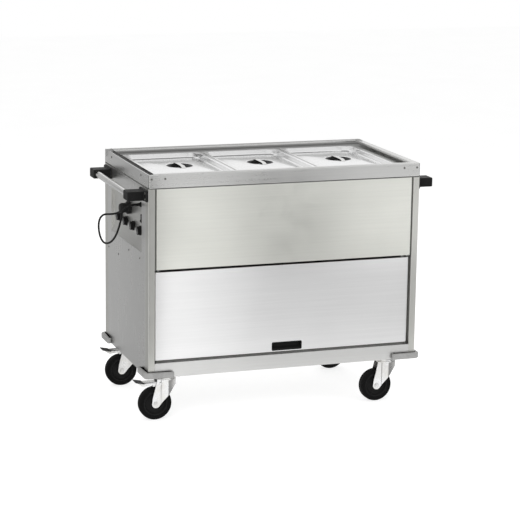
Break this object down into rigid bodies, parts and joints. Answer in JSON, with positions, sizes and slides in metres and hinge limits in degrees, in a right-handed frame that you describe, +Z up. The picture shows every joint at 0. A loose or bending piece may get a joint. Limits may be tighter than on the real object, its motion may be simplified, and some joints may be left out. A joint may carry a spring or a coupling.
{
  "type": "hostess trolley",
  "caption": "Heated food trolley: lidded wells in a rimmed top over a cupboard with a rising door, push handles, side controls with a parked mains plug, and braked swivel castors",
  "frame": {"origin": "on the floor, midway between the ends, the front and the back", "axes": "+X to the right along the length, +Y to the back, +Z up; the door faces -Y and the controls -X"},
  "size_m": [1.244, 0.676, 0.97],
  "materials": {
    "steel": "brushed",
    "bright_steel": "satin",
    "door_steel": "satin",
    "zinc": "bright zinc plated",
    "screws": "satin",
    "aluminium": "anodised",
    "heater": "matte",
    "bumper": "matte grey",
    "black_plastic": "satin black",
    "nylon": "natural nylon",
    "black_rubber": "matte black",
    "tyre": "matte black"
  },
  "bodies": {
    "carcass": {"corner_posts": "steel", "bottom_rails": "steel", "base_plate": "steel", "corner_bumpers": "bumper", "castor_plates": "zinc", "rim_front": "bright_steel", "rim_rear": "bright_steel", "rim_left": "bright_steel", "rim_right": "bright_steel", "rim_corners": "bright_steel", "rim_screws": "screws", "worktop": "bright_steel", "well_left": "bright_steel", "well_centre": "bright_steel", "well_right": "bright_steel", "well_heaters": "heater", "upper_front_panel": "steel", "rear_panel": "steel", "side_panel_left": "steel", "side_panel_right": "steel", "control_fascia": "steel", "panel_screws": "screws", "thermostats": "black_plastic", "switch_bezel": "black_plastic", "cupboard_floor": "steel", "cupboard_ceiling": "steel", "cupboard_walls": "steel", "cupboard_back": "steel", "cupboard_shelf": "steel", "cupboard_heater": "heater", "door_guides": "aluminium", "handle_tube_left": "bright_steel", "handle_tube_right": "bright_steel", "handle_brackets": "black_plastic", "cord_gland": "black_rubber", "mains_cord": "black_rubber", "mains_plug": "black_rubber", "plug_holder": "black_plastic"},
    "door": {"door_panel": "door_steel", "door_pull": "black_plastic", "door_runners": "nylon"},
    "lid_left": {"lid_left": "bright_steel"},
    "lid_centre": {"lid_centre": "bright_steel"},
    "lid_right": {"lid_right": "bright_steel"},
    "fork_front_left": {"fork_front_left": "zinc"},
    "fork_front_right": {"fork_front_right": "zinc"},
    "fork_rear_left": {"fork_rear_left": "zinc"},
    "fork_rear_right": {"fork_rear_right": "zinc"},
    "wheel_front_left": {"wheel_front_left": "tyre"},
    "wheel_front_right": {"wheel_front_right": "tyre"},
    "wheel_rear_left": {"wheel_rear_left": "tyre"},
    "wheel_rear_right": {"wheel_rear_right": "tyre"},
    "pedal_front_left": {"pedal_front_left": "zinc"},
    "pedal_rear_left": {"pedal_rear_left": "zinc"},
    "knob_1": {"knob_1": "black_plastic"},
    "knob_2": {"knob_2": "black_plastic"},
    "knob_3": {"knob_3": "black_plastic"},
    "knob_4": {"knob_4": "black_plastic"},
    "switch_rocker": {"switch_rocker": "black_plastic"}
  },
  "joints": [
    {"name": "door_lift", "type": "slide", "parent": "carcass", "child": "door", "axis": [0, 0, 1], "range_m": [0, 0.3]},
    {"name": "lid_left_lift", "type": "slide", "parent": "carcass", "child": "lid_left", "axis": [0, 0, 1], "range_m": [0, 0.25]},
    {"name": "lid_centre_lift", "type": "slide", "parent": "carcass", "child": "lid_centre", "axis": [0, 0, 1], "range_m": [0, 0.25]},
    {"name": "lid_right_lift", "type": "slide", "parent": "carcass", "child": "lid_right", "axis": [0, 0, 1], "range_m": [0, 0.25]},
    {"name": "swivel_front_left", "type": "hinge", "parent": "carcass", "child": "fork_front_left", "pos_m": [-0.459, -0.25, 0.17], "axis": [0, 0, 1], "continuous": true},
    {"name": "swivel_front_right", "type": "hinge", "parent": "carcass", "child": "fork_front_right", "pos_m": [0.459, -0.25, 0.17], "axis": [0, 0, 1], "continuous": true},
    {"name": "swivel_rear_left", "type": "hinge", "parent": "carcass", "child": "fork_rear_left", "pos_m": [-0.459, 0.25, 0.17], "axis": [0, 0, 1], "continuous": true},
    {"name": "swivel_rear_right", "type": "hinge", "parent": "carcass", "child": "fork_rear_right", "pos_m": [0.459, 0.25, 0.17], "axis": [0, 0, 1], "continuous": true},
    {"name": "roll_front_left", "type": "hinge", "parent": "fork_front_left", "child": "wheel_front_left", "pos_m": [-0.505, -0.25, 0.065], "axis": [0, 1, 0], "continuous": true},
    {"name": "roll_front_right", "type": "hinge", "parent": "fork_front_right", "child": "wheel_front_right", "pos_m": [0.413, -0.25, 0.065], "axis": [0, 1, 0], "continuous": true},
    {"name": "roll_rear_left", "type": "hinge", "parent": "fork_rear_left", "child": "wheel_rear_left", "pos_m": [-0.505, 0.25, 0.065], "axis": [0, 1, 0], "continuous": true},
    {"name": "roll_rear_right", "type": "hinge", "parent": "fork_rear_right", "child": "wheel_rear_right", "pos_m": [0.413, 0.25, 0.065], "axis": [0, 1, 0], "continuous": true},
    {"name": "brake_front_left", "type": "hinge", "parent": "fork_front_left", "child": "pedal_front_left", "pos_m": [-0.487, -0.25, 0.146], "axis": [0, -1, 0], "range_deg": [0, 8]},
    {"name": "brake_rear_left", "type": "hinge", "parent": "fork_rear_left", "child": "pedal_rear_left", "pos_m": [-0.487, 0.25, 0.146], "axis": [0, -1, 0], "range_deg": [0, 8]},
    {"name": "knob_1_turn", "type": "hinge", "parent": "carcass", "child": "knob_1", "pos_m": [-0.545, -0.174, 0.73], "axis": [1, 0, 0], "range_deg": [0, 300]},
    {"name": "knob_2_turn", "type": "hinge", "parent": "carcass", "child": "knob_2", "pos_m": [-0.545, -0.074, 0.73], "axis": [1, 0, 0], "range_deg": [0, 300]},
    {"name": "knob_3_turn", "type": "hinge", "parent": "carcass", "child": "knob_3", "pos_m": [-0.545, 0.026, 0.73], "axis": [1, 0, 0], "range_deg": [0, 300]},
    {"name": "knob_4_turn", "type": "hinge", "parent": "carcass", "child": "knob_4", "pos_m": [-0.545, 0.126, 0.73], "axis": [1, 0, 0], "range_deg": [0, 300]},
    {"name": "mains_rocker", "type": "hinge", "parent": "carcass", "child": "switch_rocker", "pos_m": [-0.538, -0.192, 0.778], "axis": [0, -1, 0], "range_deg": [0, 16]}
  ]
}
